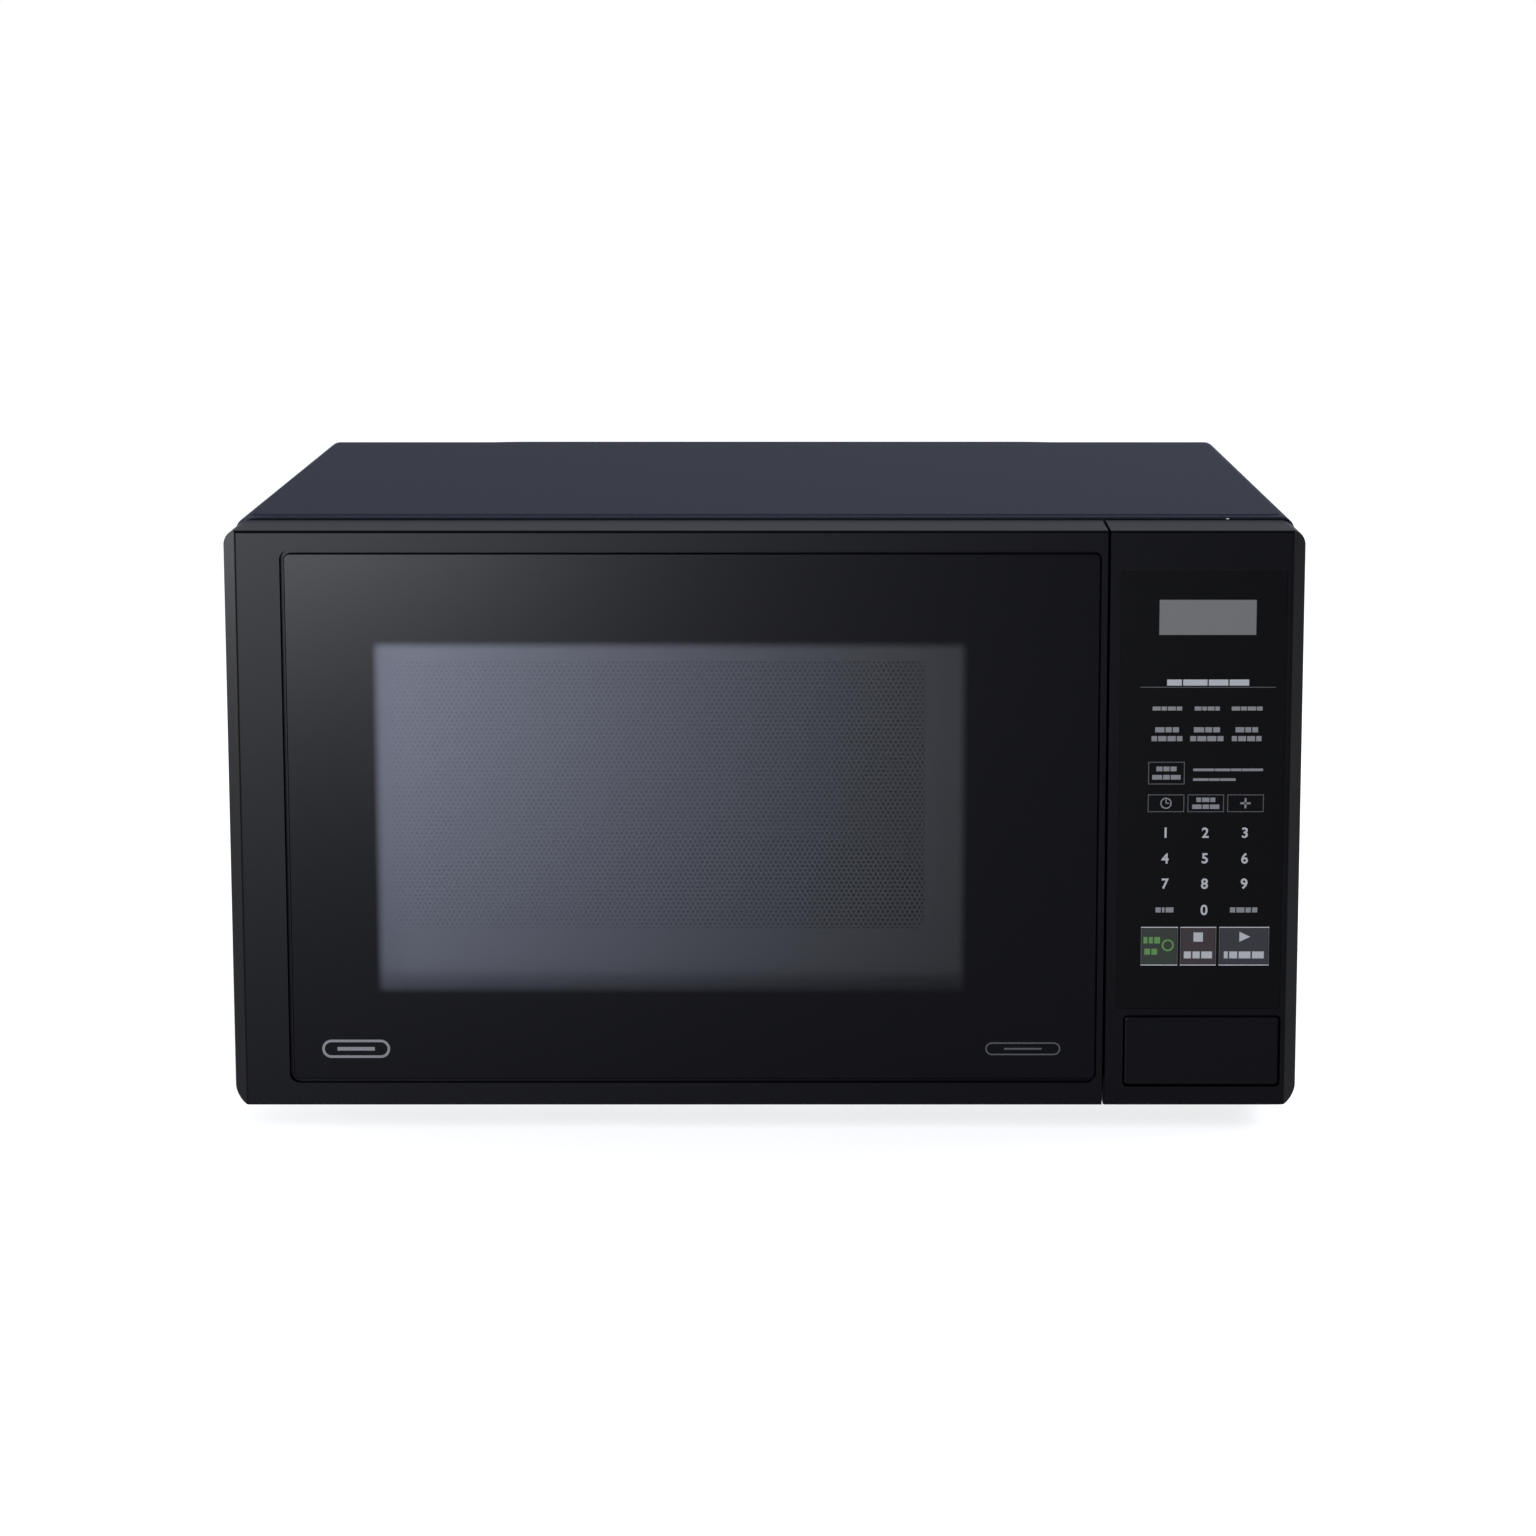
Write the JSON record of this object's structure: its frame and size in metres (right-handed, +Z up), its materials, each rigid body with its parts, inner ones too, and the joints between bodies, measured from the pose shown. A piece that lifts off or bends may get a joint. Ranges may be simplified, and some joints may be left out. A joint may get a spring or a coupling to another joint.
{
  "type": "microwave oven",
  "caption": "Countertop microwave oven with a side-hinged window door, latch hooks, push-to-open button, keypad and display, turntable with roller ring, and its inner components.",
  "frame": {"origin": "middle of the footprint, on the surface that the feet stand on", "axes": "+X to the user's right, +Y to the back, +Z up; the door's face points to -Y"},
  "size_m": [0.455, 0.33, 0.26],
  "materials": {
    "case": "fine textured black powder coat",
    "back": "galvanised and grey coated sheet",
    "base": "galvanised sheet",
    "foot": "moulded, dull",
    "screw": "zinc plated",
    "gland": "nylon",
    "front_plate": "smooth grey enamel",
    "cavity": "light grey enamel, speckled",
    "mica": "mica sheet",
    "galvanised": "galvanised, light spangle",
    "tray_glass": "clear pressed soda glass",
    "coupler": "heat-proof moulding",
    "shaft": "turned",
    "ring": "heat-proof moulding",
    "roller": "low-friction moulding",
    "door_shell": "black satin gloss moulding",
    "window": "smoked, glossy, black printed border",
    "door_metal": "dark grey enamelled sheet",
    "screen": "dark grey perforated sheet",
    "film": "clear sheet",
    "cover": "black moulding",
    "hinge": "zinc plated",
    "latch": "natural acetal",
    "spring": "drawn wire",
    "carrier": "natural moulding",
    "switch": "moulded cases",
    "plunger": "moulded",
    "panel": "black satin moulding",
    "membrane": "printed film",
    "display": "grey display window",
    "board": "green laminate",
    "components": "moulded cases",
    "magnet": "ferrite",
    "copper": "bare copper",
    "fins": "pressed sheet",
    "core": "varnished laminations",
    "winding": "enamelled wire, varnished",
    "can": "drawn can",
    "diode": "moulded",
    "duct": "moulded",
    "blade": "moulded",
    "lamp_case": "zinc plated",
    "bulb": "clear bulb"
  },
  "bodies": {
    "cabinet": {"outer_case": "case", "back_plate": "back", "base_plate": "base", "feet": "foot", "screws": "screw", "cord_gland": "gland", "front_plate": "front_plate", "oven_cavity": "cavity", "waveguide_cover": "mica", "waveguide": "galvanised", "turntable_motor": "galvanised", "lower_hinge": "hinge", "upper_hinge": "hinge", "latch_board": "carrier", "interlock_switches": "switch", "panel_housing": "panel", "button_spring": "spring", "key_membrane": "membrane", "display_lens": "display", "control_board": "board", "board_components": "components", "magnetron_yoke": "galvanised", "magnetron_magnets": "magnet", "magnetron_anode": "copper", "magnetron_fins": "fins", "magnetron_filter_box": "galvanised", "transformer_core": "core", "transformer_windings": "winding", "hv_capacitor": "can", "capacitor_clamp": "galvanised", "hv_diode": "diode", "filter_board": "board", "fan_shroud": "duct", "fan_stator": "core", "fan_coil": "winding", "lamp_holder": "lamp_case", "cavity_lamp": "bulb", "thermal_cutouts": "diode"},
    "door": {"door_frame": "door_shell", "front_window": "window", "door_panel": "door_metal", "door_screen": "screen", "inner_window": "film", "choke_cover": "cover", "latch_spring": "spring"},
    "latch": {"door_latch": "latch"},
    "button": {"door_button": "panel"},
    "lever": {"open_lever": "carrier"},
    "coupler": {"drive_coupler": "coupler", "motor_shaft": "shaft"},
    "tray": {"glass_tray": "tray_glass"},
    "ring": {"roller_ring": "ring"},
    "roller_1": {"roller_1": "roller"},
    "roller_2": {"roller_2": "roller"},
    "roller_3": {"roller_3": "roller"},
    "fan": {"fan_blade": "blade", "fan_rotor": "shaft"},
    "primary_plunger": {"primary_plunger": "plunger"},
    "secondary_plunger": {"secondary_plunger": "plunger"},
    "monitor_plunger": {"monitor_plunger": "plunger"}
  },
  "joints": [
    {"name": "door_hinge", "type": "hinge", "parent": "cabinet", "child": "door", "pos_m": [-0.218, -0.146, 0.13], "axis": [0, 0, -1], "range_deg": [0, 105]},
    {"name": "button_push", "type": "slide", "parent": "cabinet", "child": "button", "axis": [0, 1, 0], "range_m": [0, 0.005], "stiffness_N_per_m": 600, "deforming": ["button_spring"]},
    {"name": "lever_pivot", "type": "hinge", "parent": "cabinet", "child": "lever", "pos_m": [0.134, -0.122, 0.046], "axis": [1, 0, 0], "range_deg": [0, 17.36]},
    {"name": "latch_slide", "type": "slide", "parent": "door", "child": "latch", "axis": [0, 0, 1], "range_m": [0, 0.00424], "deforming": ["latch_spring"]},
    {"name": "turntable_spin", "type": "hinge", "parent": "cabinet", "child": "coupler", "pos_m": [-0.046, 0.009, 0.036], "axis": [0, 0, 1], "continuous": true},
    {"name": "tray_lift", "type": "slide", "parent": "coupler", "child": "tray", "axis": [0, 0, 1], "range_m": [0, 0.04]},
    {"name": "ring_spin", "type": "hinge", "parent": "cabinet", "child": "ring", "pos_m": [-0.046, 0.009, 0.043], "axis": [0, 0, 1], "continuous": true},
    {"name": "roller_spin_1", "type": "hinge", "parent": "ring", "child": "roller_1", "pos_m": [-0.046, 0.1005, 0.043], "axis": [0, 1, 0], "continuous": true},
    {"name": "roller_spin_2", "type": "hinge", "parent": "ring", "child": "roller_2", "pos_m": [-0.12524, -0.03675, 0.043], "axis": [-0.866, -0.5, 0], "continuous": true},
    {"name": "roller_spin_3", "type": "hinge", "parent": "ring", "child": "roller_3", "pos_m": [0.03324, -0.03675, 0.043], "axis": [0.866, -0.5, 0], "continuous": true},
    {"name": "fan_spin", "type": "hinge", "parent": "cabinet", "child": "fan", "pos_m": [0.1764, 0.1124, 0.195], "axis": [0, 1, 0], "continuous": true},
    {"name": "primary_switch", "type": "slide", "parent": "cabinet", "child": "primary_plunger", "axis": [0, 1, 0], "range_m": [0, 0.001], "stiffness_N_per_m": 300},
    {"name": "secondary_switch", "type": "slide", "parent": "cabinet", "child": "secondary_plunger", "axis": [0, 1, 0], "range_m": [0, 0.001], "stiffness_N_per_m": 300},
    {"name": "monitor_switch", "type": "slide", "parent": "cabinet", "child": "monitor_plunger", "axis": [0, 1, 0], "range_m": [0, 0.001], "stiffness_N_per_m": 300}
  ],
  "couplings": [
    {"joint": "lever_pivot", "follows": "button_push", "rad_per_m": 60.606},
    {"joint": "latch_slide", "follows": "button_push", "ratio": 0.84848},
    {"joint": "ring_spin", "follows": "turntable_spin", "ratio": 0.5},
    {"joint": "roller_spin_1", "follows": "turntable_spin", "ratio": -6.6304},
    {"joint": "roller_spin_2", "follows": "turntable_spin", "ratio": -6.6304},
    {"joint": "roller_spin_3", "follows": "turntable_spin", "ratio": -6.6304}
  ]
}
